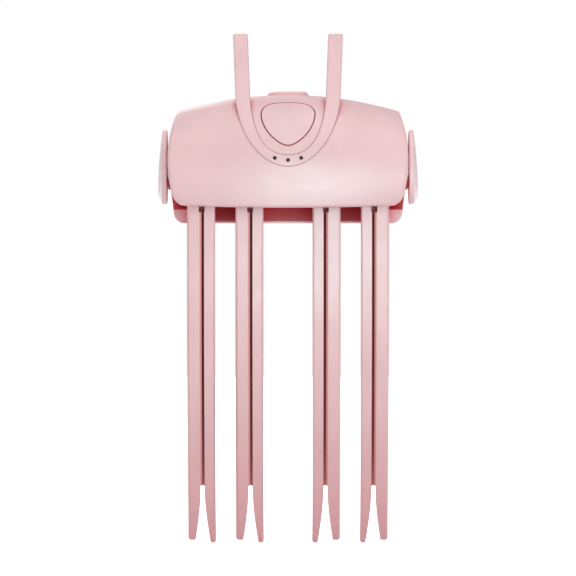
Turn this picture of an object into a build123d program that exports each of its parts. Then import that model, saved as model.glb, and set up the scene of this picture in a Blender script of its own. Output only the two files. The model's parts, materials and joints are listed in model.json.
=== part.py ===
from build123d import *
import math
import os

# Heated root volumizing clip, in millimetres.
# It is drawn with the hinge axis along X through the origin, the front towards -Y and +Z up.
# The finished pieces are then moved together so that the origin is under the middle of the part.

# Rechargeable cell, which sets the length of everything round it
cell_radius = 7.0
cell_length = 49.0
cell_y = 1.2
cell_z = 2.6
cell_tab_radius = 4.0
cell_tab_thickness = 0.4
cell_end_room = 2.1
cradle_inset = 7.5
cradle_thickness = 2.0
cradle_front_y = -3.5
cradle_top_z = 3.0

# Casing of the front jaw
casing_widest_z = 3.5
casing_side_radius = 40.8
casing_corner_radius = 4.2
casing_edge_radius = 1.2
crest_height = 22.9
crest_drop = 4.9
crown_inset = 2.7
front_depth = 17.0
front_crown = 1.5
back_depth = 11.0
back_crown = 1.0
casing_wall = 1.8
lip_middle_z = -10.9
lip_end_z = -10.2
floor_bottom_z = -9.5
floor_inset = 4.4

# Clearances
seam_gap = 0.07
fit_gap = 0.1
thread_gap = 0.03
button_gap = 0.3
running_gap = 0.05
clamp_gap = 0.3
swing_gap = 0.3

# U-shaped squeeze handle
handle_bottom_z = 1.2
handle_inner_bottom_z = 4.7
handle_belly_z = 7.8
handle_neck_z = 21.0
handle_neck_outer = 15.6
handle_neck_inner = 11.2
handle_top_z = 41.0
handle_splay = 0.8
handle_outer_bow = (0.41, 0.9)
handle_inner_bow = (0.46, 0.88)
handle_inlay = 1.0
handle_inlay_top_z = 18.0
handle_thickness = 3.5
handle_root_z = 11.0
handle_leave_z = 12.0
handle_bend_z = 27.0
handle_bend_radius = 22.6
handle_tip_radius = 1.4
handle_corner_radius = 0.5
handle_screw_z = 14.0
handle_screw_x = 12.2
handle_block_width = 6.0
handle_block_height = 6.5
handle_plate_thickness = 1.0
handle_plate_width = 5.6
handle_plate_height = 6.0
handle_screw_length = 3.6

# Power button and what it presses
button_z = 13.9
button_half_width = 7.4
button_shoulder = 7.2
button_top = 8.3
button_point = 7.1
button_bulge = 3.2
button_corner_radius = 4.4
button_point_radius = 3.9
button_proud = 0.25
button_travel = 0.45
button_flange_depth = 4.5
button_flange_thickness = 0.8
button_flange_reach = 0.9
seal_width = 0.6
board_depth = 8.6
board_thickness = 1.2
board_half_width = 15.0
board_half_height = 8.0
board_corner_radius = 1.0
board_post_radius = 2.2
board_screw_x = 12.5
board_screw_drop = 5.0
board_screw_length = 5.0
switch_size = 6.0
switch_height = 2.2
stem_radius = 1.2
stem_into_switch = 0.6
lens_radius = 0.48
lens_pitch = 3.9
lens_middle_z = 3.1
lens_side_z = 3.7
lens_gap = 1.6
led_size = (1.6, 0.8, 0.6)
led_drop = 6.6
chip_size = (5.0, 5.0, 1.0)
chip_x = 9.0
chip_rise = 2.5

# Charging socket on the crest
port_y = 3.6
port_boss_width = 12.4
port_boss_depth = 7.0
port_boss_top_z = 24.0
port_boss_bottom_z = 17.0
port_boss_edge = 1.4
port_recess = 0.4
port_width = 8.94
port_height = 3.26
port_length = 7.3
port_shell = 0.3
port_floor = 1.2
port_tongue_width = 6.7
port_tongue_thickness = 0.7
port_tongue_length = 4.6
port_board_thickness = 1.0
port_board_width = 13.0
port_board_depth = 4.2
port_peg_x = 5.2
port_peg_radius = 0.8

# Front teeth
tooth_width = 8.3
tooth_inset = 9.9
tooth_pitch = 14.35
tooth_setback = 5.0
tooth_upright_z = -25.0
tooth_front_radius = 165.0
tooth_back_radius = 190.0
tooth_depth = 5.5
tooth_tip_z = -111.2
outboard_tip_z = -110.4
tooth_edge_radius = 0.7
tooth_tip_radius = 0.8
split_corner_radius = 0.3
groove_width = 1.35
groove_slit = 0.7
groove_slope_depth = 0.9
outboard_rib = 3.7
tooth_web = 1.0
split_top_z = -93.7
split_arch_radius = 0.63
split_curve_top_z = -96.0
split_narrow = 0.09
split_wide = 0.92
split_half_width = 2.5
notch_bottom_z = -12.2
notch_width = 1.7
notch_depth = 4.2
root_flange = 1.0
root_flange_thickness = 1.5
retainer_thickness = 1.3
retainer_reach = 0.4
retainer_depth = 7.2
retainer_inset = 0.5
shield_thickness = 0.5
cutoff_radius = 1.3
cutoff_length = 8.0

# Heater bars behind the teeth
bar_width = 6.0
bar_thickness = 1.0
bar_recess = 0.5
film_thickness = 0.2
film_width = 5.0
film_margin = 0.5
bar_top_z = -18.0
bar_bottom_z = -91.0

# Hinge
pin_radius = 1.5
bearing_rib_thickness = 1.4
bearing_rib_front_y = -4.0
bearing_rib_top_z = 4.0
hinge_tab_radius = 4.0
spring_wire = 0.75
spring_mean_radius = 2.6
spring_turns = 3.25
spring_pitch = 0.8
spring_room = 0.9
spring_end_room = 6.4
spring_window_top_z = 10.0
spring_window_width = 1.5

# Rear jaw
shell_inner_radius = 13.7
shell_wall = 1.7
shell_inset = 0.5
shell_taper = 1.6
shell_end_wall = 3.6
shell_lip_thickness = 0.7
shell_lip_radius = 0.3
shell_corner_radius = 3.2
shell_front_angle = 86.0
shell_end_top_angle = 20.0
lug_thickness = 1.4
lug_edge_radius = 0.5
lug_top_z = 5.0
lug_bottom_z = -4.5
lever_radius = 32.3
lever_top_z = 19.0
lever_half_width = 20.0
lever_shoulder_x = 24.0
lever_shoulder_z = 10.5
lever_corner_radius = 4.0
lever_edge_radius = 0.8
ear_center_y = 0.8
ear_center_z = 1.4
ear_half_depth = 7.3
ear_half_height = 11.1
ear_crown = 1.3
ear_crown_z = -4.4
ear_shoulder_share = 0.72
ear_crown_share = 0.22
comb_clearance = 0.6
comb_base_thickness = 1.9
comb_base_inset = 1.8
comb_base_back_angle = 12.0
comb_base_front_angle = 47.0
comb_top_z = -11.8
comb_tooth_width = 6.2
comb_tooth_thickness = 2.0
comb_bottom_z = -92.0
comb_edge_radius = 0.5
comb_tip_radius = 2.0
pad_thickness = 1.0
pad_width = 5.0
pad_top_z = -20.0
thumb_pad_half_width = 15.0
thumb_pad_bottom_z = 6.5
thumb_pad_top_z = 17.0
thumb_pad_thickness = 0.9
thumb_rib_radius = 0.5
thumb_rib_count = 6

# Screws
screw_radius = 1.0
screw_head_radius = 1.8
screw_head_height = 1.1
screw_slot = 0.5
screw_boss_radius = 2.3
cover_screw_inset = 11.7
cover_screw_z = 13.2
cover_screw_length = 10.0
retainer_screw_setback = 3.0
retainer_boss_radius = 1.9
comb_screw_angle = 30.0
comb_screw_length = 2.4

# Sizes that follow from those above
bearing_rib_x = cell_length / 2 + cell_tab_thickness + cell_end_room
spring_start_x = bearing_rib_x + bearing_rib_thickness + spring_room
casing_half_width = spring_start_x + spring_end_room
spring_leg_drift = spring_pitch * back_depth / (2 * math.pi * spring_mean_radius)
crown_station = casing_half_width - crown_inset
floor_half_length = casing_half_width - floor_inset
cradle_x = cell_length / 2 - cradle_inset
outer_tooth_x = casing_half_width - tooth_inset
inner_tooth_x = outer_tooth_x - tooth_pitch
tooth_front_y = tooth_setback - front_depth
retainer_front_y = tooth_front_y - retainer_reach
retainer_back_y = retainer_front_y + retainer_depth
retainer_half_length = floor_half_length - retainer_inset
retainer_screw_x = (outer_tooth_x + inner_tooth_x) / 2
retainer_screw_y = tooth_front_y + retainer_screw_setback
shell_half_width = casing_half_width - shell_inset
shell_low_half_width = shell_half_width - shell_taper
comb_base_half_length = floor_half_length - comb_base_inset
cover_screw_x = casing_half_width - cover_screw_inset
floor_top_z = floor_bottom_z + casing_wall
flange_top_z = floor_top_z + root_flange_thickness
retainer_top_z = flange_top_z + retainer_thickness
bar_back_radius = tooth_back_radius + bar_recess - bar_thickness
bar_front_radius = bar_back_radius + bar_thickness
film_front_radius = bar_front_radius + film_thickness
pad_front_radius = bar_back_radius - clamp_gap
comb_front_radius = pad_front_radius - pad_thickness
comb_back_radius = comb_front_radius - comb_tooth_thickness
shell_outer_radius = shell_inner_radius + shell_wall
comb_inner_radius = back_depth + comb_clearance
comb_outer_radius = comb_inner_radius + comb_base_thickness
lever_center_y = shell_inner_radius + lever_radius
lug_inner_x = casing_half_width + swing_gap
lug_outer_x = lug_inner_x + lug_thickness
handle_top_outer = handle_neck_outer + handle_splay
groove_outboard_x = tooth_width / 2 - outboard_rib
groove_inboard_x = groove_outboard_x - groove_width
slit_outboard_x = groove_inboard_x + groove_slit
split_x = (groove_outboard_x + groove_inboard_x) / 2
tooth_places = {"outer_left": -outer_tooth_x, "inner_left": -inner_tooth_x,
                "inner_right": inner_tooth_x, "outer_right": outer_tooth_x}

big = 100.0
everywhere = (-big, big)
sides = {"left": -1, "right": 1}


def crown(x):
    """Share of the crown drop reached at a station along the length."""
    return (x / crown_station) ** 2


def crest_z(x):
    """Height of the casing's crest at a station along the length."""
    return crest_height - crest_drop * crown(x)


def front_y(x, z):
    """Y of the casing's front surface at one point."""
    depth = front_depth - front_crown * crown(x)
    return -depth * math.sqrt(1 - (z / crest_z(x)) ** 2)


def back_y(x, z):
    """Y of the casing's back surface at one point above the hinge axis."""
    depth = back_depth - back_crown * crown(x)
    return depth * math.sqrt(1 - (z / crest_z(x)) ** 2)


def side_x(z, inset=0.0):
    """Half width of the casing at one height."""
    radius = casing_side_radius - inset
    return casing_half_width - casing_side_radius + math.sqrt(radius ** 2 - (z - casing_widest_z) ** 2)


def block(x_range, y_range, z_range):
    """Box between the ends of three ranges."""
    ranges = (x_range, y_range, z_range)
    size = [max(pair) - min(pair) for pair in ranges]
    middle = [sum(pair) / 2 for pair in ranges]
    return Pos(*middle) * Box(*size)


def rod(radius, start, end):
    """Round bar from one point to another."""
    line = Vector(*end) - Vector(*start)
    low_end = (Align.CENTER, Align.CENTER, Align.MIN)
    return Plane(origin=start, z_dir=line) * Cylinder(radius, line.length, align=low_end)


def stadium(width, depth, low_z, high_z, y):
    """Upright bar with round ends, long along X."""
    face = RectangleRounded(width, depth, depth / 2 - 0.001)
    return Pos(0, y, low_z) * extrude(face, high_z - low_z)


def barrel(depth, depth_crown, inset=0.0):
    """Closed barrel of elliptic sections, crowned along its length."""
    sections = []
    for share in (-1, -0.5, 0, 0.5, 1):
        x = share * (casing_half_width + 1)
        section = Ellipse(depth - depth_crown * crown(x) - inset, crest_z(x) - inset)
        sections.append(Plane(origin=(x, 0, 0), x_dir=(0, 1, 0), z_dir=(1, 0, 0)) * section)
    return loft(sections)


def casing_outline(inset=0.0):
    """Front view of the casing, extruded through its depth."""
    top_z = crest_height + 3
    low_z = lip_end_z + inset
    top_x, low_x = side_x(top_z, inset), side_x(low_z, inset)
    curves = [Line((-top_x, top_z), (top_x, top_z)),
              ThreePointArc((low_x, low_z), (0, lip_middle_z + inset), (-low_x, low_z))]
    for side in sides.values():
        curves.append(ThreePointArc((side * top_x, top_z), (side * (casing_half_width - inset), casing_widest_z),
                                    (side * low_x, low_z)))
    face = make_face(curves)
    face = fillet(face.vertices().group_by(Axis.Y)[0], casing_corner_radius - inset)
    return extrude(Plane.XZ * face, big / 2, both=True)


def hinge_sector(inner_radius, outer_radius, front_angle, back_angle, x_range):
    """Piece of a ring about the hinge axis, between two angles below the horizontal at the back."""
    angles = (front_angle, (front_angle + back_angle) / 2, back_angle)
    inner, outer = [[(radius * math.cos(math.radians(angle)), -radius * math.sin(math.radians(angle)))
                     for angle in angles] for radius in (inner_radius, outer_radius)]
    face = make_face([ThreePointArc(*inner), Line(inner[2], outer[2]),
                      ThreePointArc(*reversed(outer)), Line(outer[0], inner[0])])
    return Pos(min(x_range), 0, 0) * extrude(Plane.YZ * face, max(x_range) - min(x_range))


def bend_y(radius, z):
    """Y of a curve concentric with the backs of the teeth."""
    center_y = tooth_front_y + tooth_depth + tooth_back_radius
    return center_y - math.sqrt(radius ** 2 - (z - tooth_upright_z) ** 2)


def bend_strip(back_radius, front_radius, top_z, bottom_z, x, width):
    """Strip that follows the backs of the teeth, between two radii and two heights."""
    heights = (top_z, (top_z + bottom_z) / 2, bottom_z)
    back, front = [[(bend_y(radius, z), z) for z in heights] for radius in (back_radius, front_radius)]
    face = make_face([ThreePointArc(*back), Line(back[2], front[2]),
                      ThreePointArc(*reversed(front)), Line(front[0], back[0])])
    return Pos(x, 0, 0) * extrude(Plane.YZ * face, width / 2, both=True)


def screw(place, length):
    """Slotted screw whose head stands on the place's plane and whose shank runs below it."""
    head = Pos(0, 0, screw_head_height / 2) * Cylinder(screw_head_radius, screw_head_height)
    head = chamfer(head.edges().group_by(Axis.Z)[-1], screw_head_height / 4)
    head -= Pos(0, 0, screw_head_height) * Box(2 * screw_radius + screw_slot, screw_slot, screw_head_height)
    head -= Pos(0, 0, screw_head_height) * Box(screw_slot, 2 * screw_radius + screw_slot, screw_head_height)
    shank = Pos(0, 0, -length / 2) * Cylinder(screw_radius, length)
    return place * (head + shank)


def screw_hole(place, length, gap, head_room=0.0):
    """Space for a screw, with room above its head if asked."""
    hole = Pos(0, 0, -length / 2) * Cylinder(screw_radius + gap, length)
    if head_room:
        hole += Pos(0, 0, head_room / 2) * Cylinder(screw_head_radius + fit_gap, head_room)
    return place * hole


front_space = block(everywhere, (-big, 0), everywhere)
back_space = block(everywhere, (0, big), everywhere)
front_barrel = barrel(front_depth, front_crown)
front_cavity = barrel(front_depth, front_crown, casing_wall)
outer_outline = casing_outline()
inner_outline = casing_outline(casing_wall)

# The button's plane touches the front surface at the button's middle.
# Its local Y runs up the surface, and its normal points out of it.
button_y = front_y(0, button_z)
button_tilt = math.atan2(button_z / crest_height ** 2, -button_y / front_depth ** 2)
outward = Vector(0, -math.cos(button_tilt), math.sin(button_tilt))
button_plane = Plane(origin=(0, button_y, button_z), x_dir=(1, 0, 0), z_dir=outward)

# Both arms leave the casing along its tangent at handle_leave_z.
arm_x = (handle_neck_outer + handle_neck_inner) / 2
arm_leave_y = front_y(arm_x, handle_leave_z)
arm_depth = front_depth - front_crown * crown(arm_x)
arm_slope = (arm_depth / crest_z(arm_x)) ** 2 * handle_leave_z / -arm_leave_y
arm_lean = math.atan(arm_slope)


def at_depth(depth, x=0.0, up=0.0):
    """Place on the button's plane, moved sideways and up it and sunk below the surface."""
    return button_plane * Pos(x, up, -depth)


def button_shape(grow=0.0):
    """Rounded triangle that points down."""
    corners = [(-button_half_width, button_shoulder), (button_half_width, button_shoulder),
               (0, -button_point)]
    lean = math.atan2(button_shoulder + button_point, button_half_width)
    middle_x = button_half_width / 2 + button_bulge * math.sin(lean)
    middle_y = (button_shoulder - button_point) / 2 - button_bulge * math.cos(lean)
    face = make_face([ThreePointArc(corners[0], (0, button_top), corners[1]),
                      ThreePointArc(corners[1], (middle_x, middle_y), corners[2]),
                      ThreePointArc(corners[2], (-middle_x, middle_y), corners[0])])
    face = fillet(face.vertices().group_by(Axis.Y)[-1], button_corner_radius)
    face = fillet(face.vertices().group_by(Axis.Y)[0], button_point_radius)
    return offset(face, grow) if grow else face


def button_prism(grow, top_depth, bottom_depth):
    """Button outline extruded between two depths below the surface."""
    return extrude(at_depth(bottom_depth) * button_shape(grow), bottom_depth - top_depth)


def arm_face_y(z):
    """Y of an arm's straight front face."""
    return arm_leave_y + arm_slope * (z - handle_leave_z)


def arm_profile(gap=0.0):
    """Side view of the arms, extruded across the width, with a gap all round if asked."""
    center = Vector(arm_face_y(handle_bend_z) - handle_bend_radius * math.cos(arm_lean),
                    handle_bend_z + handle_bend_radius * math.sin(arm_lean))
    root = Vector(arm_face_y(handle_root_z), handle_root_z - gap)
    across = Vector(math.cos(arm_lean), -math.sin(arm_lean))
    near = handle_bend_radius - gap
    far = handle_bend_radius + handle_thickness + gap

    def on_arc(radius, angle):
        return center + Vector(math.cos(angle), -math.sin(angle)) * radius

    root_near = root - across * gap
    root_far = root + across * (handle_thickness + gap)
    top_near = Vector(on_arc(near, 0).X, handle_top_z)
    top_far = Vector(on_arc(far, 0).X, handle_top_z)
    face = make_face([Line(root_near, on_arc(near, arm_lean)),
                      ThreePointArc(on_arc(near, arm_lean), on_arc(near, arm_lean / 2), on_arc(near, 0)),
                      Line(on_arc(near, 0), top_near),
                      Line(top_near, top_far),
                      Line(top_far, on_arc(far, 0)),
                      ThreePointArc(on_arc(far, 0), on_arc(far, arm_lean / 2), on_arc(far, arm_lean)),
                      Line(on_arc(far, arm_lean), root_far),
                      Line(root_far, root_near)])
    face = fillet(face.vertices().group_by(Axis.Y)[-1], handle_tip_radius)
    return extrude(Plane.YZ * face, handle_top_outer + 1, both=True)


def handle_front_view(gap=0.0):
    """Front view of the U, extruded through the depth."""
    outer_low = handle_bottom_z - gap
    inner_low = handle_inner_bottom_z + gap
    neck_out = handle_neck_outer + gap
    neck_in = handle_neck_inner - gap
    top = handle_top_z + gap
    curves = []
    for side in sides.values():
        for low, neck, bow in ((outer_low, neck_out, handle_outer_bow), (inner_low, neck_in, handle_inner_bow)):
            curves.append(Bezier((0, low), (side * bow[0] * neck, low),
                                 (side * bow[1] * neck, handle_belly_z), (side * neck, handle_neck_z)))
            curves.append(Line((side * neck, handle_neck_z), (side * (neck + handle_splay), top)))
        curves.append(Line((side * (neck_out + handle_splay), top), (side * (neck_in + handle_splay), top)))
    face = make_face(curves)
    face = fillet(face.vertices().group_by(Axis.Y)[-1], handle_corner_radius)
    return extrude(Plane.XZ * face, big / 2, both=True)


def make_handle(gap=0.0):
    """Squeeze handle: a band let into the casing that leaves it as two arms."""
    below = block(everywhere, (-big, 0), (-big, handle_inlay_top_z))
    inlay = front_barrel - barrel(front_depth, front_crown, handle_inlay + gap)
    return handle_front_view(gap) & ((inlay & below) + arm_profile(gap))


def arm_frame(side, depth=0.0):
    """Plane on the back of an arm's foot, with its normal pointing on through to the back."""
    normal = Vector(0, math.cos(arm_lean), -math.sin(arm_lean))
    front = Vector(side * handle_screw_x, arm_face_y(handle_screw_z), handle_screw_z)
    return Plane(origin=front + normal * (handle_thickness + depth), x_dir=(1, 0, 0), z_dir=normal)


def handle_screw_place(side):
    """Plane under the head of a handle screw."""
    return arm_frame(side, handle_plate_thickness)


def cover_screw_place(side):
    """Plane under the head of a screw that holds the two casing halves together."""
    head_y = back_y(cover_screw_x, cover_screw_z) - screw_head_height
    return Plane(origin=(side * cover_screw_x, head_y, cover_screw_z), x_dir=(1, 0, 0), z_dir=(0, 1, 0))


def board_screw_place(side):
    """Plane under the head of a screw that holds the circuit board."""
    point = at_depth(board_depth + board_thickness, side * board_screw_x, -board_screw_drop).position
    return Plane(origin=point, x_dir=(1, 0, 0), z_dir=-outward)


def retainer_screw_place(side):
    """Plane under the head of a screw that holds the tooth retainer down."""
    return Plane(origin=(side * retainer_screw_x, retainer_screw_y, retainer_top_z))


def comb_screw_place(x):
    """Plane under the head of a screw that holds the rear comb in its shell."""
    angle = math.radians(comb_screw_angle)
    direction = Vector(0, math.cos(angle), -math.sin(angle))
    point = Vector(x, 0, 0) + direction * (shell_outer_radius - screw_head_height)
    return Plane(origin=point, x_dir=(1, 0, 0), z_dir=direction)


def lens_rods(radius):
    """Three rods along Y where the indicator lenses run, up to the lights behind them."""
    led_front = at_depth(board_depth - led_size[2], 0, led_size[1] / 2 - led_drop).position.Y
    lens_inner_y = led_front - lens_gap
    places = [(-lens_pitch, lens_side_z), (0, lens_middle_z), (lens_pitch, lens_side_z)]
    return [rod(radius, (x, -front_depth - 1, z), (x, lens_inner_y, z)) for x, z in places]


def make_front_cover():
    """Front half of the casing, with the openings for handle, button and lenses."""
    cover = front_barrel & outer_outline & front_space
    front_edges = cover.edges().filter_by(GeomType.LINE, reverse=True)
    cover = fillet(front_edges.filter_by(lambda edge: edge.center().Y < -casing_wall), casing_edge_radius)
    cover -= front_cavity & inner_outline
    mouth_half_length = floor_half_length + fit_gap
    cover -= front_cavity & block((-mouth_half_length, mouth_half_length), everywhere, (-big, floor_top_z + fit_gap))
    half_wall = barrel(front_depth, front_crown, casing_wall / 2)
    for side in sides.values():
        foot = Box(handle_block_width, handle_block_height, handle_thickness,
                   align=(Align.CENTER, Align.CENTER, Align.MAX))
        cover += arm_frame(side) * foot & half_wall
        start = at_depth(0, side * board_screw_x, -board_screw_drop).position
        end = at_depth(board_depth, side * board_screw_x, -board_screw_drop).position
        cover += rod(board_post_radius, start, end) & half_wall
        start = (side * cover_screw_x, front_y(cover_screw_x, cover_screw_z), cover_screw_z)
        cover += rod(screw_boss_radius, start, (side * cover_screw_x, 0, cover_screw_z)) & half_wall
        cover -= screw_hole(cover_screw_place(side), cover_screw_length + fit_gap, thread_gap)
        cover -= screw_hole(board_screw_place(side), board_screw_length + fit_gap, thread_gap)
    for x in tooth_places.values():
        cover -= root_box(x, 2 * fit_gap, lip_middle_z - 1, floor_bottom_z)
    cover -= make_handle(seam_gap)
    cover -= button_prism(button_gap, -front_depth / 4, button_flange_depth)
    for hole in lens_rods(lens_radius + running_gap):
        cover -= hole
    return cover - rod(hinge_tab_radius + fit_gap, (-big, 0, 0), (big, 0, 0))


def make_squeeze_handle():
    """Squeeze handle with its screw holes and lens holes."""
    handle = make_handle()
    for side in sides.values():
        handle -= screw_hole(handle_screw_place(side), handle_screw_length + fit_gap, thread_gap)
    for hole in lens_rods(lens_radius + running_gap):
        handle -= hole
    return handle


def make_handle_plates():
    """Plates that clamp the feet of both arms against the cover from inside."""
    plates = []
    for side in sides.values():
        plate = Box(handle_plate_width, handle_plate_height, handle_plate_thickness,
                    align=(Align.CENTER, Align.CENTER, Align.MIN))
        plates.append(arm_frame(side) * plate - screw_hole(handle_screw_place(side), handle_screw_length, fit_gap))
    return plates


def make_power_button():
    """Power button: a proud cap, a skirt through the cover and a flange behind it."""
    skin = barrel(front_depth + button_proud, front_crown)
    cap = button_prism(0, -front_depth / 4, button_flange_depth + button_flange_thickness) & skin
    flange = button_prism(button_flange_reach, button_flange_depth,
                          button_flange_depth + button_flange_thickness)
    return cap + flange


def make_switch_stem():
    """Stem between the button and the switch."""
    start_depth = button_flange_depth + button_flange_thickness
    end_depth = board_depth - switch_height + stem_into_switch
    return rod(stem_radius, at_depth(start_depth).position, at_depth(end_depth).position)


def make_button_seal():
    """Soft ring behind the cover round the button."""
    ring = (button_prism(button_gap + seal_width, 0, button_flange_depth - fit_gap)
            - button_prism(button_gap, -1, button_flange_depth))
    return ring & barrel(front_depth, front_crown, casing_wall + running_gap)


def make_indicator_lenses():
    """Three light pipes that end flush with the handle's band."""
    return [lens & front_barrel for lens in lens_rods(lens_radius)]


def board_box(size, depth, x=0.0, up=0.0):
    """Box that stands on a plane behind the button and rises towards the front."""
    return at_depth(depth, x, up) * Box(*size, align=(Align.CENTER, Align.CENTER, Align.MIN))


def make_circuit_board():
    """Circuit board parallel to the button."""
    back = board_depth + board_thickness
    board = board_box((2 * board_half_width, 2 * board_half_height, board_thickness), back)
    board = fillet(board.edges().filter_by(Axis(board.center(), outward)), board_corner_radius)
    for side in sides.values():
        board -= screw_hole(board_screw_place(side), board_screw_length, fit_gap)
    return board


def make_tactile_switch():
    """Switch body with the well that its stem moves in."""
    body = board_box((switch_size, switch_size, switch_height), board_depth)
    well_depth = board_depth - switch_height + stem_into_switch + button_travel + fit_gap
    well = rod(stem_radius + fit_gap, at_depth(well_depth).position, at_depth(0).position)
    return body - well


def make_status_leds():
    """One light behind each lens."""
    return [board_box(led_size, board_depth, x, -led_drop) for x in (-lens_pitch, 0, lens_pitch)]


def make_board_chips():
    """Charger and controller on the circuit board."""
    return [board_box(chip_size, board_depth, side * chip_x, chip_rise) for side in sides.values()]


def back_body(inset):
    """Solid of the casing's back half, carried on past the seam and shrunk all round."""
    rounded = block(everywhere, everywhere, (0, big)) + rod(back_depth - inset, (-big, 0, 0), (big, 0, 0))
    body = barrel(back_depth, back_crown, inset) & rounded & casing_outline(inset)
    return body & block(everywhere, everywhere, (floor_bottom_z + inset, big))


def make_back_housing():
    """Back half of the casing, with the floor, the hinge tabs and what carries the cell."""
    housing = (back_body(0) & back_space) - back_body(casing_wall)
    middle_wall = back_body(casing_wall / 2)
    floor_inside = barrel(front_depth, front_crown, casing_wall + fit_gap)
    housing += floor_inside & block((-floor_half_length, floor_half_length), (-big, casing_wall),
                                    (floor_bottom_z, floor_top_z))
    for side in sides.values():
        rib = block((side * bearing_rib_x, side * (bearing_rib_x + bearing_rib_thickness)),
                    (bearing_rib_front_y, big), (floor_bottom_z, bearing_rib_top_z))
        housing += rib & middle_wall
        cradle = block((side * cradle_x, side * (cradle_x + cradle_thickness)),
                       (cradle_front_y, big), (floor_bottom_z, cradle_top_z))
        housing += cradle & middle_wall
    housing -= rod(cell_radius + fit_gap, (-cell_length / 2, cell_y, cell_z), (cell_length / 2, cell_y, cell_z))
    housing += rod(hinge_tab_radius, (-big, 0, 0), (big, 0, 0)) & (outer_outline - inner_outline)
    housing -= rod(pin_radius + running_gap, (-big, 0, 0), (big, 0, 0))
    for side in sides.values():
        boss = rod(screw_boss_radius, (side * cover_screw_x, 0, cover_screw_z),
                   (side * cover_screw_x, back_depth, cover_screw_z))
        housing += boss & middle_wall
        housing -= screw_hole(cover_screw_place(side), cover_screw_length, fit_gap, 2 * screw_head_height)
        housing += rod(retainer_boss_radius, (side * retainer_screw_x, retainer_screw_y, floor_bottom_z),
                       (side * retainer_screw_x, retainer_screw_y, flange_top_z))
        housing -= screw_hole(retainer_screw_place(side), retainer_top_z - floor_bottom_z, thread_gap)
        leg_x = side * (spring_start_x + spring_turns * spring_pitch + spring_leg_drift)
        housing -= block((leg_x - spring_window_width / 2, leg_x + spring_window_width / 2), (back_depth / 2, big),
                         (spring_mean_radius - spring_wire, spring_window_top_z))
    for x in tooth_places.values():
        housing -= root_box(x, fit_gap, floor_bottom_z - 1, floor_top_z)
    return finish_port(housing)


def root_box(x, gap, low_z, high_z):
    """Box round a tooth's root where it leaves the casing."""
    front = front_curve_y(floor_bottom_z)
    back = bend_y(tooth_back_radius, flange_top_z)
    half = tooth_width / 2 + gap
    return block((x - half, x + half), (front - gap, back + gap), (low_z, high_z))


def finish_port(housing):
    """Add the charging socket's raised mouth to the housing."""
    mouth = stadium(port_boss_width, port_boss_depth, port_boss_bottom_z, port_boss_top_z, port_y)
    mouth = fillet(mouth.edges().group_by(Axis.Z)[-1], port_boss_edge)
    for side in sides.values():
        peg_x = side * port_peg_x
        mouth += rod(port_peg_radius, (peg_x, port_y, port_board_top()), (peg_x, port_y, port_boss_bottom_z + 1))
    bore = stadium(port_width + 2 * fit_gap, port_height + 2 * fit_gap, port_board_top(), port_boss_top_z + 1, port_y)
    return housing + mouth - bore


def port_board_top():
    """Height of the charging socket's board."""
    return port_boss_top_z - port_recess - port_length


def make_port_shell():
    """Metal shell of the charging socket."""
    low_z = port_board_top()
    shell = stadium(port_width, port_height, low_z, low_z + port_length, port_y)
    inside = stadium(port_width - 2 * port_shell, port_height - 2 * port_shell, low_z, low_z + port_length, port_y)
    return shell - inside


def make_port_tongue():
    """Insulator with the contact tongue inside the charging socket."""
    low_z = port_board_top()
    gap = port_shell + running_gap
    base = stadium(port_width - 2 * gap, port_height - 2 * gap, low_z, low_z + port_floor, port_y)
    tongue = block((-port_tongue_width / 2, port_tongue_width / 2),
                   (port_y - port_tongue_thickness / 2, port_y + port_tongue_thickness / 2),
                   (low_z + port_floor, low_z + port_floor + port_tongue_length))
    return base + tongue


def make_port_board():
    """Small board that carries the charging socket."""
    top = port_board_top()
    return block((-port_board_width / 2, port_board_width / 2),
                 (port_y - port_board_depth / 2, port_y + port_board_depth / 2),
                 (top - port_board_thickness, top))


def make_battery_cell():
    """Round lithium cell along the casing."""
    return rod(cell_radius, (-cell_length / 2, cell_y, cell_z), (cell_length / 2, cell_y, cell_z))


def make_battery_tabs():
    """Contact discs on both ends of the cell."""
    end = cell_length / 2
    return [rod(cell_tab_radius, (side * end, cell_y, cell_z), (side * (end + cell_tab_thickness), cell_y, cell_z))
            for side in sides.values()]


def front_curve_y(z):
    """Y of the front of the teeth at one height."""
    reach = tooth_front_radius ** 2 - (z - tooth_upright_z) ** 2
    return tooth_front_y + tooth_front_radius - math.sqrt(reach)


def groove_slope():
    """Cut that slopes the groove's outboard wall, concentric with the front of the teeth."""
    middle = Vector(0, tooth_front_y + tooth_front_radius, tooth_upright_z)
    slope = (groove_outboard_x - slit_outboard_x) / groove_slope_depth
    deep = tooth_front_radius - groove_slope_depth
    clear = tooth_front_radius + 1
    start_x = slit_outboard_x - groove_slit / 2
    profile = make_face(Polyline((start_x, deep), (slit_outboard_x, deep),
                                 (groove_outboard_x + slope, clear), (start_x, clear), close=True))
    return revolve(Plane(origin=middle, x_dir=(1, 0, 0), z_dir=(0, 0, -1)) * profile, Axis(middle, (1, 0, 0)))


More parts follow.
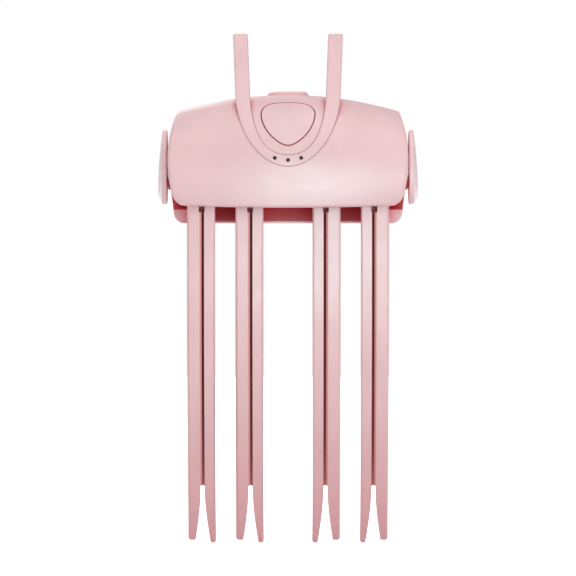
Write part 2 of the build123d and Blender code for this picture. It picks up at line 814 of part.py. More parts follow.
def make_tooth(x):
    """Double tooth: two ribs joined by a web, split at the tip, with its pocket for a heater bar."""
    heights = (flange_top_z, (flange_top_z + tooth_tip_z) / 2, tooth_tip_z - 1)
    front = [(front_curve_y(z), z) for z in heights]
    back = [(bend_y(tooth_back_radius, z), z) for z in heights]
    face = make_face([ThreePointArc(*front), Line(front[2], back[2]),
                      ThreePointArc(*reversed(back)), Line(back[0], front[0])])
    tooth = extrude(Plane.YZ * face, tooth_width / 2, both=True)
    long_edges = tooth.edges().filter_by(lambda edge: edge.length > abs(tooth_tip_z) / 2)
    tooth = fillet(long_edges, tooth_edge_radius) & tooth_front_view()
    tooth -= bend_strip(film_front_radius + tooth_web, tooth_back_radius + 2 * tooth_depth,
                        flange_top_z + 1, split_top_z - 1, (groove_inboard_x + slit_outboard_x) / 2, groove_slit)
    tooth -= groove_slope()
    tooth -= block((split_x - notch_width / 2, split_x + notch_width / 2),
                   (-big, tooth_front_y + notch_depth), (notch_bottom_z, floor_bottom_z))
    tooth -= bend_strip(tooth_back_radius - 1, film_front_radius, bar_top_z + fit_gap, bar_bottom_z - fit_gap,
                        0, bar_width + 2 * fit_gap)
    tooth += root_box(0, root_flange, floor_top_z, flange_top_z)
    return Pos(x, 0, 0) * (tooth if x > 0 else mirror(tooth, Plane.YZ))


def tooth_front_view():
    """Front view of a tooth, extruded through its depth: rounded tips and the gap between them."""
    half = tooth_width / 2
    low = tooth_tip_z - split_arch_radius
    fall = (low - split_curve_top_z) / 3
    face = make_face(Polyline((-half, 0), (half, 0), (half, outboard_tip_z), (split_x, outboard_tip_z),
                              (split_x, tooth_tip_z), (-half, tooth_tip_z), close=True))
    arch_z = split_top_z - split_arch_radius
    curves = [ThreePointArc((split_x - split_arch_radius, arch_z), (split_x, split_top_z),
                            (split_x + split_arch_radius, arch_z)),
              Line((split_x - split_half_width, low), (split_x + split_half_width, low))]
    for side in sides.values():
        widths = [split_arch_radius, split_arch_radius + split_narrow,
                  split_arch_radius + split_wide, split_half_width]
        points = [(split_x + side * width, split_curve_top_z + number * fall)
                  for number, width in enumerate(widths)]
        curves.append(Line((split_x + side * split_arch_radius, arch_z), points[0]))
        curves.append(Bezier(*points))
    face -= make_face(curves)
    tip_corners = face.vertices().filter_by(lambda corner: corner.Y < outboard_tip_z + split_corner_radius / 3)
    outside = [corner for corner in tip_corners if abs(corner.X) > half - split_corner_radius]
    inside = [corner for corner in tip_corners if abs(corner.X) < half - split_corner_radius]
    face = fillet(outside, tooth_tip_radius)
    face = fillet([face.vertices().sort_by_distance(corner)[0] for corner in inside], split_corner_radius)
    return extrude(Plane.XZ * face, big, both=True)


def make_heater_bar(x):
    """Aluminium bar that presses the hair against the rear jaw."""
    return bend_strip(bar_back_radius, bar_front_radius, bar_top_z, bar_bottom_z, x, bar_width)


def make_heating_films():
    """Thin heaters between each tooth and its bar."""
    return [bend_strip(bar_front_radius, film_front_radius, bar_top_z - film_margin,
                       bar_bottom_z + film_margin, x, film_width) for x in tooth_places.values()]


def make_tooth_retainer():
    """Bar that holds all four tooth roots down."""
    bar = block((-retainer_half_length, retainer_half_length), (retainer_front_y, retainer_back_y),
                (flange_top_z, retainer_top_z))
    for side in sides.values():
        bar -= screw_hole(retainer_screw_place(side), 2 * retainer_thickness, fit_gap)
    return bar


def make_heat_shield():
    """Insulating sheet between the tooth roots and the cell."""
    shield = block((-outer_tooth_x, outer_tooth_x), (retainer_front_y, retainer_back_y),
                   (retainer_top_z, retainer_top_z + shield_thickness))
    for side in sides.values():
        shield -= screw_hole(retainer_screw_place(side), fit_gap, fit_gap, 2 * screw_head_height)
    return shield


def make_thermal_cutoff():
    """Thermal cut-off on the shield."""
    z = retainer_top_z + shield_thickness + cutoff_radius
    y = (retainer_front_y + retainer_back_y) / 2
    return rod(cutoff_radius, (-cutoff_length / 2, y, z), (cutoff_length / 2, y, z))


def make_hinge_pin(side):
    """Pin fixed in a lug of the rear jaw and turning in the housing."""
    return rod(pin_radius, (side * bearing_rib_x, 0, 0), (side * lug_outer_x, 0, 0))


def make_torsion_spring(side):
    """Closing spring round a hinge pin, with one leg on the floor and one behind the lever."""
    start = Plane(origin=(side * spring_start_x, 0, 0), x_dir=(0, -1, 0), z_dir=(side, 0, 0))
    helix = start * Helix(spring_pitch, spring_turns * spring_pitch, spring_mean_radius, lefthand=side > 0)
    begin, end = helix @ 0, helix @ 1
    down, back = helix % 0, helix % 1
    floor_end = begin + down * ((floor_top_z + fit_gap - begin.Z) / down.Z)
    lever_y = lever_center_y - math.sqrt(lever_radius ** 2 - spring_mean_radius ** 2)
    lever_end = end + back * ((lever_y - swing_gap - end.Y) / back.Y)
    path = Wire([Line(floor_end, begin).edge(), helix.edge(), Line(end, lever_end).edge()])
    return sweep(Plane(origin=floor_end, z_dir=down) * Circle(spring_wire / 2), path=path)


def rear_outline():
    """Back view of the rear shell, extruded through its depth."""
    low = -shell_outer_radius * math.sin(math.radians(shell_front_angle))
    corners = [((shell_low_half_width, low), shell_corner_radius),
               ((shell_half_width, lug_bottom_z - lug_thickness / 2), 0),
               ((lug_outer_x, lug_bottom_z), 0),
               ((lug_outer_x, lug_top_z), 0),
               ((lever_shoulder_x, lever_shoulder_z), lever_corner_radius),
               ((lever_half_width, lever_top_z), lever_corner_radius)]
    right_points = [point for point, _ in corners]
    left_points = [(-x, z) for x, z in reversed(right_points)]
    face = make_face(Polyline(*right_points, *left_points, close=True))
    for (x, z), radius in corners:
        for side in sides.values():
            if radius:
                face = fillet(face.vertices().sort_by_distance((side * x, z))[0], radius)
    return extrude(Plane.XZ * face, big, both=True)


def make_rear_shell():
    """Rear jaw's shell: a curved back that ends in the thumb lever, with two hinge lugs."""
    center = Vector(lever_center_y, 0)
    front_angle = math.radians(-shell_front_angle)
    loops = []
    for ring_radius, lever_arc in ((shell_inner_radius, lever_radius),
                                   (shell_outer_radius, lever_radius - shell_wall)):
        low_radius = max(ring_radius, shell_outer_radius - shell_lip_thickness)
        low = Vector(math.cos(front_angle), math.sin(front_angle)) * low_radius
        middle = Vector(math.cos(front_angle / 2), math.sin(front_angle / 2)) * ring_radius
        joint = Vector(ring_radius, 0)
        top_y, half_y = [lever_center_y - math.sqrt(lever_arc ** 2 - z ** 2) for z in (lever_top_z, lever_top_z / 2)]
        loops.append((low, middle, joint, Vector(half_y, lever_top_z / 2), Vector(top_y, lever_top_z)))
    inner, outer = loops
    face = make_face([ThreePointArc(*inner[:3]), ThreePointArc(*inner[2:]), Line(inner[4], outer[4]),
                      ThreePointArc(*outer[2:]), ThreePointArc(*outer[:3]), Line(outer[0], inner[0])])
    face = fillet(face.vertices().group_by(Axis.Y)[-1], lever_edge_radius)
    face = fillet(face.vertices().sort_by(Axis.X)[:2], shell_lip_radius)
    shell = extrude(Plane.YZ * face, lug_outer_x, both=True) & rear_outline()
    for side in sides.values():
        shell += make_lug(side)
        wall_x = (side * (shell_low_half_width - shell_end_wall), side * shell_half_width)
        shell += hinge_sector(back_depth + swing_gap, shell_outer_radius - fit_gap, shell_front_angle,
                              shell_end_top_angle, wall_x) & rear_outline()
    for x in tooth_places.values():
        shell -= screw_hole(comb_screw_place(x), 2 * shell_wall, fit_gap, 2 * screw_head_height)
    return shell


def ear_plane(side, distance):
    """Plane across the hinge axis, looking outwards on one side."""
    return Plane(origin=(side * distance, ear_center_y, 0), x_dir=(0, 1, 0), z_dir=(1, 0, 0))


def make_lug(side):
    """Side plate of the rear jaw with its hinge hole."""
    ear = extrude(ear_plane(side, lug_inner_x) * Pos(0, ear_center_z) * Ellipse(ear_half_depth, ear_half_height),
                  side * lug_thickness)
    ear = fillet(ear.edges().sort_by(Axis.X, reverse=side < 0)[0], lug_edge_radius)
    arm = block((side * lug_inner_x, side * lug_outer_x), (0, shell_outer_radius), (lug_bottom_z, lug_top_z))
    arm &= rod(shell_outer_radius, (-big, 0, 0), (big, 0, 0))
    return ear + arm - rod(pin_radius + thread_gap, (-big, 0, 0), (big, 0, 0))


def make_ear_cap(side):
    """Domed cap over a hinge lug, fullest below its middle."""
    sections = []
    for rise, shrink in ((0.0, 1.0), (0.5, ear_shoulder_share), (1.0, ear_crown_share)):
        lean = (1 - shrink) / (1 - ear_crown_share) * (ear_crown_z - ear_center_z)
        sections.append(ear_plane(side, lug_outer_x + rise * ear_crown) * Pos(0, ear_center_z + lean)
                        * Ellipse(ear_half_depth * shrink, ear_half_height * shrink))
    return loft(sections)


def make_comb_tooth(x):
    """Tooth of the rear comb, with rounded edges and a rounded end."""
    strip = bend_strip(comb_back_radius, comb_front_radius, comb_top_z, comb_bottom_z, x, comb_tooth_width)
    long_edges = strip.edges().filter_by(lambda edge: edge.length > abs(comb_bottom_z) / 2)
    front_view = Pos(x, comb_bottom_z / 2) * RectangleRounded(comb_tooth_width, -comb_bottom_z, comb_tip_radius)
    return fillet(long_edges, comb_edge_radius) & extrude(Plane.XZ * front_view, big, both=True)


def make_rear_comb():
    """Comb of the rear jaw: a curved base inside the shell and a tooth behind each heater bar."""
    base_x = (-comb_base_half_length, comb_base_half_length)
    comb = hinge_sector(comb_inner_radius, comb_outer_radius, comb_base_front_angle, comb_base_back_angle, base_x)
    stem_reach = math.asin(-bend_y(comb_front_radius, comb_top_z) / comb_outer_radius)
    for x in tooth_places.values():
        tooth_x = (x - comb_tooth_width / 2, x + comb_tooth_width / 2)
        comb += hinge_sector(comb_inner_radius, comb_outer_radius, 90 + math.degrees(stem_reach),
                             comb_base_front_angle - 1, tooth_x)
        comb += make_comb_tooth(x)
        comb -= screw_hole(comb_screw_place(x), comb_screw_length + fit_gap, thread_gap)
    return comb


def make_clamp_pads():
    """Soft strips on the comb that press hair against the heater bars."""
    return [bend_strip(comb_front_radius, pad_front_radius, pad_top_z, bar_bottom_z, x, pad_width)
            for x in tooth_places.values()]


def make_thumb_pad():
    """Ribbed soft pad on the back of the lever."""
    radius = lever_radius - shell_wall
    inner = radius - thumb_pad_thickness

    def pad_y(arc_radius, z):
        return lever_center_y - math.sqrt(arc_radius ** 2 - z ** 2)

    heights = (thumb_pad_bottom_z, (thumb_pad_bottom_z + thumb_pad_top_z) / 2, thumb_pad_top_z)
    near = [(pad_y(radius, z), z) for z in heights]
    far = [(pad_y(inner, z), z) for z in heights]
    face = make_face([ThreePointArc(*near), Line(near[2], far[2]), ThreePointArc(*reversed(far)),
                      Line(far[0], near[0])])
    pad = extrude(Plane.YZ * face, thumb_pad_half_width, both=True)
    step = (thumb_pad_top_z - thumb_pad_bottom_z) / (thumb_rib_count + 1)
    for number in range(1, thumb_rib_count + 1):
        z = thumb_pad_bottom_z + number * step
        rib_x = thumb_pad_half_width - step
        pad += rod(thumb_rib_radius, (-rib_x, pad_y(inner, z), z), (rib_x, pad_y(inner, z), z))
    return pad


def build_pieces():
    """Every piece by its name, about the hinge axis."""
    pieces = {
        "front_cover": make_front_cover(),
        "back_housing": make_back_housing(),
        "squeeze_handle": make_squeeze_handle(),
        "handle_plates": make_handle_plates(),
        "handle_screws": [screw(handle_screw_place(side), handle_screw_length) for side in sides.values()],
        "cover_screws": [screw(cover_screw_place(side), cover_screw_length) for side in sides.values()],
        "indicator_lenses": make_indicator_lenses(),
        "button_seal": make_button_seal(),
        "power_button": make_power_button(),
        "switch_stem": make_switch_stem(),
        "circuit_board": make_circuit_board(),
        "board_screws": [screw(board_screw_place(side), board_screw_length) for side in sides.values()],
        "tactile_switch": make_tactile_switch(),
        "status_leds": make_status_leds(),
        "board_chips": make_board_chips(),
        "port_shell": make_port_shell(),
        "port_tongue": make_port_tongue(),
        "port_board": make_port_board(),
        "battery_cell": make_battery_cell(),
        "battery_tabs": make_battery_tabs(),
        "heating_films": make_heating_films(),
        "tooth_retainer": make_tooth_retainer(),
        "retainer_screws": [screw(retainer_screw_place(side), retainer_top_z - floor_bottom_z - fit_gap)
                            for side in sides.values()],
        "heat_shield": make_heat_shield(),
        "thermal_cutoff": make_thermal_cutoff(),
        "rear_shell": make_rear_shell(),
        "rear_comb": make_rear_comb(),
        "clamp_pads": make_clamp_pads(),
        "comb_screws": [screw(comb_screw_place(x), comb_screw_length) for x in tooth_places.values()],
        "thumb_pad": make_thumb_pad(),
    }
    for name, x in tooth_places.items():
        pieces[name + "_tooth"] = make_tooth(x)
        pieces[name + "_heater_bar"] = make_heater_bar(x)
    for name, side in sides.items():
        pieces[name + "_hinge_pin"] = make_hinge_pin(side)
        pieces[name + "_torsion_spring"] = make_torsion_spring(side)
        pieces[name + "_ear_cap"] = make_ear_cap(side)
    return {name: as_compound(piece) for name, piece in pieces.items()}


def as_compound(piece):
    """One compound of the piece's solids."""
    shapes = piece if isinstance(piece, list) else [piece]
    return Compound(children=[solid for shape in shapes for solid in shape.solids()])


pieces = build_pieces()
whole = Compound(children=[Compound(piece.wrapped) for piece in pieces.values()]).bounding_box()
shift = Vector(-whole.center().X, -whole.center().Y, -whole.min.Z)

os.makedirs("parts", exist_ok=True)
for name, piece in pieces.items():
    export_step(Pos(shift) * piece, f"parts/{name}.step")
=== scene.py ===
import json
import math

import bpy
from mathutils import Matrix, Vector


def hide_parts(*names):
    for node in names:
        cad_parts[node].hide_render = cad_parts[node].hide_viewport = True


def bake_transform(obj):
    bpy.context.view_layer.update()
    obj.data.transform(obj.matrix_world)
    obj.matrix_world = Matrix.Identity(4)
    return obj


# Heated root volumizing clip: finishes, floor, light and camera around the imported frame.
# Everything is in metres, with the origin under the middle of the part.

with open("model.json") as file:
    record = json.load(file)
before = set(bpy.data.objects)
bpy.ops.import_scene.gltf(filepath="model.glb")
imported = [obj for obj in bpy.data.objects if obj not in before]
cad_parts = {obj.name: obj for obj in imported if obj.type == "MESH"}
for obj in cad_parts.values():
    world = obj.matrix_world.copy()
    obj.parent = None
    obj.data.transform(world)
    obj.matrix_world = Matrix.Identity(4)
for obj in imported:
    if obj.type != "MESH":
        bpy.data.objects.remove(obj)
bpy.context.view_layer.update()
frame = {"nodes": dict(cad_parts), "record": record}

# Camera: level with the middle of the picture, a long way off
camera_distance = 1.6
camera_height = 0.0765
metres_per_pixel = 0.0002985
image_pixels = 576
sensor_mm = 36.0

# Hinge line
hinge_line_y = -0.00232

# Light: each lamp's place, the point that it faces, its size and its power
world_light = 0.48
body_middle = (0, 0, 0.10)
lamps = {
    "key": ((0.22, -0.8, 0.9), body_middle, (0.7, 0.7), 3.1),
    "top": ((-0.1, -0.25, 0.9), body_middle, (0.6, 0.6), 1.3),
    "fill": ((0.9, -0.8, 0.12), body_middle, (0.8, 0.8), 1.0),
    "back": ((-0.4, 0.9, 0.6), body_middle, (0.7, 0.7), 4.0),
    "low": ((0.12, -0.45, 0.012), body_middle, (0.25, 0.25), 0.6),
    "sheen": ((0.011, -0.085, 0.088), (0.006, 0, 0.108), (0.05, 0.07), 0.08),
}
sheen_tint = (0.4, 1.0, 0.98)

# Floor: half its side, its two tones, and how its own white grows with distance from the part
floor_reach = 3.0
floor_tones = ((0.80, 0.80, 0.80, 1), (0.83, 0.83, 0.83, 1))
floor_patch_size = 0.2
floor_roughness = 0.9
floor_white = (0.6, 1.3)
floor_white_distance = (0.05, 0.22)

# Colours, as a picture shows them, from 0 to 255
shell_pink = (234, 196, 199)
# Painted shade: the colour that the pink plastics take in their hollows, seams and slits, where shade
# falls
shell_painted_shade = (224, 72, 84)
tooth_pink = (231, 191, 193)
# Painted shade on the teeth: a salmon colour on the groove walls and a dark red one deep in the slits
tooth_painted_wall_shade = (246, 176, 178)
tooth_painted_shade = (160, 6, 16)
# Painted shade: the teeth turn darker and redder towards their tips
tip_painted_shade = (223, 165, 170)
button_pink = (235, 200, 203)
# Rear shell: the same pink as the front, painted lighter to lift shade on its lugs, with painted
# shade on its trough walls and deep in its hollows
rear_pink_with_painted_light = (244, 208, 211)
rear_painted_wall_shade = (250, 156, 162)
rear_painted_shade = (252, 98, 106)
# Painted light: the ears' pink is the shell's plastic, painted lighter to lift the shade that falls
# on them
ear_pink_with_painted_light = (250, 222, 225)
silicone_rose = (190, 122, 126)
# Painted shade: the colour that the silicone takes in its hollows
silicone_painted_shade = (112, 44, 50)
lens_black = (30, 22, 23)
led_cream = (232, 226, 206)
film_amber = (184, 112, 40)
board_green = (26, 92, 58)
part_black = (28, 28, 30)
cell_blue = (44, 82, 128)
mica_tan = (196, 184, 158)
natural_white = (222, 220, 214)
metal_grey = (196, 196, 199)
steel_grey = (176, 176, 180)
nickel_grey = (204, 203, 200)

# Moulded plastic: its grain, clouds and edges
grain_size = 0.00035
grain_height = 0.000012
cloud_size = 0.012
cloud_lighter = 3
cloud_darker = -4
edge_rounding = 0.0002
arm_rounding = 0.001
# Height above the floor over which the painted shade at the tooth tips fades in
tip_shade_height = 0.042
plastic_index = 1.48
plastic_shine = 0.5
satin_below = 0.04
satin_above = 0.05
pink_softness = 0.05
scatter_radius = (1.0, 0.5, 0.5)
scatter_depth = 0.0008

# Painted shade in hollows: how far they look for walls, and the open shares between which the painted
# shade, the painted wall shade and the plain colour change
slit_reach = 0.0012
tooth_reach = 0.0022
cover_reach = 0.003
rear_reach = 0.006
closed_share = 0.05
slope_shares = (0.1, 0.5)
free_shares = (0.6, 1.0)
lug_start_x = 0.0358
lug_fade = 0.0003

# Silicone
bloom_lighter = 5
bloom_darker = -6
# Reach and open shares of the painted shade in the silicone's hollows
silicone_reach = 0.003
silicone_shares = (0.1, 0.8)
silicone_roughness = (0.62, 0.78)
silicone_relief = 0.000015
silicone_index = 1.42
silicone_sheen = 0.15
silicone_sheen_roughness = 0.5

# Metal, smooth resin and circuit board
streak_size = 0.00012
streak_height = 0.000004
streak_darker = 0.86
wear_size = 0.002
wear_below = 0.05
wear_above = 0.08
resin_darker = 0.8
resin_patch_size = 0.0008
resin_gloss_size = 0.0006
resin_gloss_spread = 0.12
ripple_size = 0.0009
ripple_height = 0.00001
resin_index = 1.5
track_size = 0.0011
track_narrowing = 0.08
track_edge = (0.55, 0.57)
track_height = 0.00003
track_lighter = 1.35
mask_patch_size = 0.002
mask_roughness = (0.28, 0.4)

# Nodes: where most of a noise lies, samples, and the colour sockets of a mix
noise_low = 0.3
noise_high = 0.7
hollow_samples = 8
edge_samples = 4
mix_colors = (6, 7)
mix_result = 2


def linear(color, step=0, factor=1.0):
    """Linear colour of one that is given as a picture shows it, after a factor and a step."""
    shares = [min(255, int(value * factor) + step) / 255 for value in color]
    return tuple(((s + 0.055) / 1.055) ** 2.4 if s > 0.04045 else s / 12.92 for s in shares) + (1.0,)


def add_object(name, data):
    """New object in the scene."""
    thing = bpy.data.objects.new(name, data)
    bpy.context.scene.collection.objects.link(thing)
    return thing


class Shader:
    """A material's nodes, with short calls that add and join them."""

    def __init__(self, name):
        self.material = bpy.data.materials.new(name)
        self.material.use_nodes = True
        self.nodes = self.material.node_tree.nodes
        self.links = self.material.node_tree.links
        self.surface = self.nodes["Principled BSDF"]
        self.place = self.add("ShaderNodeTexCoord").outputs["Object"]

    def add(self, kind, **values):
        """New node with these settings."""
        node = self.nodes.new(kind)
        for key, value in values.items():
            setattr(node, key, value)
        return node

    def noise(self, size, detail=2.0, stretch=(1, 1, 1)):
        """Cloudy pattern whose patches are about this many metres across."""
        mapping = self.add("ShaderNodeMapping")
        mapping.inputs["Scale"].default_value = [factor / size for factor in stretch]
        self.links.new(self.place, mapping.inputs["Vector"])
        texture = self.add("ShaderNodeTexNoise")
        texture.inputs["Scale"].default_value = 1.0
        texture.inputs["Detail"].default_value = detail
        self.links.new(mapping.outputs["Vector"], texture.inputs["Vector"])
        return texture.outputs["Fac"]

    def span(self, value, low, high, from_low=noise_low, from_high=noise_high):
        """The value spread from one range to another."""
        node = self.add("ShaderNodeMapRange")
        settings = {"From Min": from_low, "From Max": from_high, "To Min": low, "To Max": high}
        for key, number in settings.items():
            node.inputs[key].default_value = number
        self.links.new(value, node.inputs["Value"])
        return node.outputs["Result"]

    def mix(self, share, *colors):
        """Colour between two others, which are colours or sockets."""
        node = self.add("ShaderNodeMix", data_type="RGBA")
        self.links.new(share, node.inputs["Factor"])
        for index, color in zip(mix_colors, colors):
            if isinstance(color, tuple):
                node.inputs[index].default_value = color
            else:
                self.links.new(color, node.inputs[index])
        return node.outputs[mix_result]

    def combine(self, operation, *values):
        """One value worked out from others."""
        node = self.add("ShaderNodeMath", operation=operation)
        for socket, value in zip(node.inputs, values):
            self.links.new(value, socket)
        return node.outputs[0]

    def hollow(self, reach, alone=False):
        """Share of the surroundings within reach that is open: 1 if all is, 0 deep in a slit."""
        node = self.add("ShaderNodeAmbientOcclusion", samples=hollow_samples, only_local=alone)
        node.inputs["Distance"].default_value = reach
        return node.outputs["AO"]

    def along(self, axis):
        """Distance from the origin along one axis."""
        apart = self.add("ShaderNodeSeparateXYZ")
        self.links.new(self.place, apart.inputs[0])
        return self.combine("ABSOLUTE", apart.outputs[axis])

    def relief(self, *layers, edge=edge_rounding):
        """Bumps on top of softly rounded edges; each layer is a value and its height in metres."""
        normal = self.add("ShaderNodeBevel", samples=edge_samples)
        normal.inputs["Radius"].default_value = edge
        normal = normal.outputs["Normal"]
        for value, height in layers:
            bump = self.add("ShaderNodeBump")
            bump.inputs["Distance"].default_value = height
            self.links.new(value, bump.inputs["Height"])
            self.links.new(normal, bump.inputs["Normal"])
            normal = bump.outputs["Normal"]
        self.links.new(normal, self.surface.inputs["Normal"])

    def set(self, **values):
        """Plain values on the surface's own sockets."""
        for key, value in values.items():
            self.surface.inputs[key.replace("_", " ")].default_value = value

    def feed(self, **sockets):
        """Joins sockets to the surface's own."""
        for key, socket in sockets.items():
            self.links.new(socket, self.surface.inputs[key.replace("_", " ")])


def moulded(name, color, deep, roughness=0.42, reach=slit_reach, alone=False, fully_open=0.85,
            open_beyond=None, softness=0.0, tip=None, slope=None, edge=edge_rounding):
    """Satin moulded plastic: fine grain, faint clouding and painted shade, a deeper colour, in its
    hollows.

    The tip's colour, painted shade that darkens the teeth, comes in near the floor, and the slope's
    painted wall shade between a hollow's and the surface's.
    Beyond a distance from the middle along X, everything counts as open and gets no painted shade.
    """
    shader = Shader(name)
    clouds = shader.span(shader.noise(cloud_size), 0.0, 1.0)
    surface = shader.mix(clouds, linear(color, cloud_lighter), linear(color, cloud_darker))
    # Painted shade: darker and redder towards the floor, near the tooth tips
    if tip:
        near_tip = shader.span(shader.along("Z"), 1.0, 0.0, 0.0, tip_shade_height)
        surface = shader.mix(near_tip, surface, linear(tip))
    # Painted shade in hollows: where little of the surroundings is open, the colour turns to the deep
    # one
    open_share = shader.span(shader.hollow(reach, alone), 0.0, 1.0, closed_share, fully_open)
    if open_beyond:
        past = shader.span(shader.along("X"), 0.0, 1.0, open_beyond, open_beyond + lug_fade)
        open_share = shader.combine("MAXIMUM", open_share, past)
    hollow = linear(deep)
    # Painted wall shade: the slope's colour between the hollow's and the surface's
    if slope:
        on_slope = shader.span(open_share, 0.0, 1.0, *slope_shares)
        hollow = shader.mix(on_slope, hollow, linear(slope))
        open_share = shader.span(open_share, 0.0, 1.0, *free_shares)
    satin = shader.span(shader.noise(cloud_size / 4, detail=4.0),
                        roughness - satin_below, roughness + satin_above)
    dull = shader.span(open_share, 1.0, 0.0, 0.0, 1.0)
    shader.feed(Base_Color=shader.mix(open_share, hollow, surface),
                Roughness=shader.combine("MAXIMUM", satin, dull),
                Specular_IOR_Level=shader.span(open_share, 0.0, plastic_shine, 0.0, 1.0))
    shader.relief((shader.noise(grain_size, detail=3.0), grain_height),
                  (shader.noise(cloud_size / 3), grain_height), edge=edge)
    shader.set(IOR=plastic_index, Subsurface_Weight=softness, Subsurface_Radius=scatter_radius,
               Subsurface_Scale=scatter_depth)
    return shader.material


def rubbery(name, color, deep):
    """Matt silicone with a powdery bloom and painted shade in its hollows."""
    shader = Shader(name)
    bloom = shader.span(shader.noise(cloud_size / 2, detail=4.0), 0.0, 1.0)
    surface = shader.mix(bloom, linear(color, bloom_lighter), linear(color, bloom_darker))
    # Painted shade: the silicone turns to its deep colour in its hollows
    open_share = shader.span(shader.hollow(silicone_reach), 0.0, 1.0, *silicone_shares)
    patches = shader.noise(cloud_size / 6, detail=5.0)
    shader.feed(Base_Color=shader.mix(open_share, linear(deep), surface),
                Roughness=shader.span(patches, *silicone_roughness))
    shader.relief((shader.noise(grain_size / 2, detail=4.0), silicone_relief))
    shader.set(IOR=silicone_index, Sheen_Weight=silicone_sheen,
               Sheen_Roughness=silicone_sheen_roughness, Sheen_Tint=linear(color))
    return shader.material


def metal(name, color, roughness, stretch):
    """Metal with fine streaks along one axis."""
    shader = Shader(name)
    streaks = shader.noise(streak_size, detail=4.0, stretch=stretch)
    wear = shader.noise(wear_size, detail=4.0, stretch=stretch)
    shader.feed(Base_Color=shader.mix(shader.span(streaks, 0.0, 1.0), linear(color),
                                      linear(color, factor=streak_darker)),
                Roughness=shader.span(wear, roughness - wear_below, roughness + wear_above))
    shader.relief((streaks, streak_height))
    shader.set(Metallic=1.0)
    return shader.material


def glossy(name, color, roughness):
    """Smooth moulded resin with slight ripples."""
    shader = Shader(name)
    patches = shader.span(shader.noise(resin_patch_size, detail=3.0), 0.0, 1.0)
    gloss = shader.noise(resin_gloss_size, detail=4.0)
    shader.feed(Base_Color=shader.mix(patches, linear(color), linear(color, factor=resin_darker)),
                Roughness=shader.span(gloss, roughness, roughness + resin_gloss_spread))
    shader.relief((shader.noise(ripple_size), ripple_height))
    shader.set(IOR=resin_index)
    return shader.material


def laminate(name, color):
    """Circuit board: solder mask over copper tracks that run across each other."""
    shader = Shader(name)
    ways = (track_narrowing, 1, 1), (1, track_narrowing, track_narrowing)
    tracks = [shader.noise(track_size, detail=0.0, stretch=way) for way in ways]
    sharp = [shader.span(track, 0.0, 1.0, *track_edge) for track in tracks]
    crossed = shader.combine("MAXIMUM", *sharp)
    shader.feed(Base_Color=shader.mix(crossed, linear(color), linear(color, factor=track_lighter)),
                Roughness=shader.span(shader.noise(mask_patch_size), *mask_roughness))
    shader.relief((crossed, track_height))
    return shader.material


def make_finishes():
    """One material for each of the record's slots."""
    return {
        "pink_plastic": moulded("pink_plastic", shell_pink, shell_painted_shade, reach=cover_reach,
                                softness=pink_softness),
        "handle_plastic": moulded("handle_plastic", shell_pink, shell_painted_shade,
                                  softness=pink_softness, edge=arm_rounding),
        "tooth_plastic": moulded("tooth_plastic", tooth_pink, tooth_painted_shade, reach=tooth_reach,
                                 alone=True, fully_open=0.9, softness=pink_softness,
                                 tip=tip_painted_shade, slope=tooth_painted_wall_shade),
        "button_plastic": moulded("button_plastic", button_pink, shell_painted_shade, 0.38,
                                  softness=pink_softness),
        "rose_plastic": moulded("rose_plastic", rear_pink_with_painted_light, rear_painted_shade, reach=rear_reach,
                                fully_open=0.95, open_beyond=lug_start_x,
                                softness=pink_softness, slope=rear_painted_wall_shade),
        "ear_plastic": moulded("ear_plastic", ear_pink_with_painted_light, shell_painted_shade, 0.36, softness=pink_softness),
        "bar_aluminium": metal("bar_aluminium", metal_grey, 0.34, (1, 1, 0.04)),
        "heater_film": glossy("heater_film", film_amber, 0.3),
        "silicone": rubbery("silicone", silicone_rose, silicone_painted_shade),
        "pin_steel": metal("pin_steel", steel_grey, 0.25, (0.05, 1, 1)),
        "spring_steel": metal("spring_steel", steel_grey, 0.3, (0.2, 1, 1)),
        "screw_steel": metal("screw_steel", steel_grey, 0.32, (1, 1, 0.3)),
        "lens_plastic": glossy("lens_plastic", lens_black, 0.1),
        "led_plastic": glossy("led_plastic", led_cream, 0.2),
        "board_laminate": laminate("board_laminate", board_green),
        "black_plastic": moulded("black_plastic", part_black, part_black, 0.5),
        "socket_steel": metal("socket_steel", nickel_grey, 0.2, (1, 1, 0.1)),
        "cell_wrap": glossy("cell_wrap", cell_blue, 0.25),
        "mica": moulded("mica", mica_tan, mica_tan, 0.6),
        "cutoff_case": metal("cutoff_case", metal_grey, 0.3, (0.05, 1, 1)),
        "stem_plastic": moulded("stem_plastic", natural_white, natural_white, 0.4),
    }


def dress_frame():
    """Gives every CAD node its finish."""
    finishes = make_finishes()
    for subpart in frame["record"]["subparts"]:
        node = frame["nodes"][subpart["node"]]
        node.data.materials.clear()
        node.data.materials.append(finishes[subpart["material_slot"]])


def make_springs():
    """Wire copies of the torsion springs, put in the place of the CAD springs, which are hidden."""
    for side, sign in (("left", -1), ("right", 1)):
        node = frame["nodes"][f"{side}_torsion_spring"]
        mesh = node.data.copy()
        mesh.transform(node.matrix_world)
        wire = add_object(f"{side}_spring_wire", mesh)
        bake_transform(wire)
        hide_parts(f"{side}_torsion_spring")


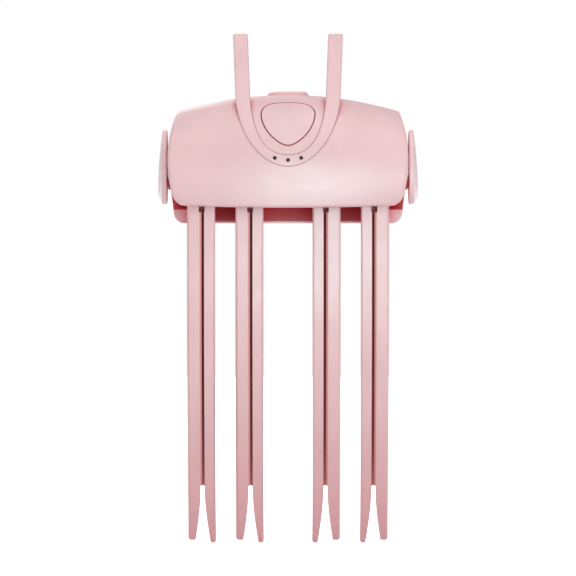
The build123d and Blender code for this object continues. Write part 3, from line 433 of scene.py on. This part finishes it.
def make_floor():
    """White floor that keeps a faint shadow near the object and is plain white further off."""
    mesh = bpy.data.meshes.new("floor")
    corners = [(-floor_reach, -floor_reach, 0), (floor_reach, -floor_reach, 0),
               (floor_reach, floor_reach, 0), (-floor_reach, floor_reach, 0)]
    mesh.from_pydata(corners, [], [(0, 1, 2, 3)])
    floor = add_object("floor", mesh)
    shader = Shader("floor")
    distance = shader.add("ShaderNodeVectorMath", operation="LENGTH")
    shader.links.new(shader.place, distance.inputs[0])
    white = shader.span(distance.outputs["Value"], *floor_white, *floor_white_distance)
    path = shader.add("ShaderNodeLightPath").outputs
    seen = shader.combine("MAXIMUM", path["Is Camera Ray"], path["Is Glossy Ray"])
    shader.feed(Base_Color=shader.mix(shader.noise(floor_patch_size), *floor_tones),
                Emission_Strength=shader.combine("MULTIPLY", seen, white))
    shader.set(Roughness=floor_roughness, Specular_IOR_Level=0.0, Emission_Color=(1, 1, 1, 1))
    mesh.materials.append(shader.material)


def make_world():
    """Even white surroundings, which the camera sees as plain white, also through clear pieces."""
    world = bpy.data.worlds.new("studio")
    bpy.context.scene.world = world
    world.use_nodes = True
    nodes, links = world.node_tree.nodes, world.node_tree.links
    background = nodes["Background"]
    background.inputs["Color"].default_value = (1, 1, 1, 1)
    path = nodes.new("ShaderNodeLightPath")
    seen = nodes.new("ShaderNodeMath")
    seen.operation = "MAXIMUM"
    links.new(path.outputs["Is Camera Ray"], seen.inputs[0])
    links.new(path.outputs["Is Transmission Ray"], seen.inputs[1])
    strength = nodes.new("ShaderNodeMapRange")
    strength.inputs["To Min"].default_value = world_light
    strength.inputs["To Max"].default_value = 1.0
    links.new(seen.outputs[0], strength.inputs["Value"])
    links.new(strength.outputs["Result"], background.inputs["Strength"])


def make_lamps():
    """Soft lamps, each facing a point; the one for sheen lights only reflections."""
    for name, (place, target, size, power) in lamps.items():
        data = bpy.data.lights.new(name, "AREA")
        data.shape = "RECTANGLE"
        data.size, data.size_y = size
        data.energy = power
        lamp = add_object(name, data)
        lamp.location = place
        facing = Vector(target) - Vector(place)
        lamp.rotation_euler = facing.to_track_quat("-Z", "Y").to_euler()
        lamp.visible_camera = False
        if name == "sheen":
            data.color = sheen_tint
            lamp.visible_diffuse = False


def make_camera():
    """Level camera that looks along +Y."""
    data = bpy.data.cameras.new("camera")
    data.sensor_width = sensor_mm
    data.lens = sensor_mm * camera_distance / (metres_per_pixel * image_pixels)
    camera = add_object("camera", data)
    camera.location = (0, hinge_line_y - camera_distance, camera_height)
    camera.rotation_euler = (math.pi / 2, 0, 0)
    bpy.context.scene.camera = camera


dress_frame()
make_springs()
make_floor()
make_world()
make_lamps()
make_camera()
bpy.context.scene.view_settings.view_transform = "Standard"
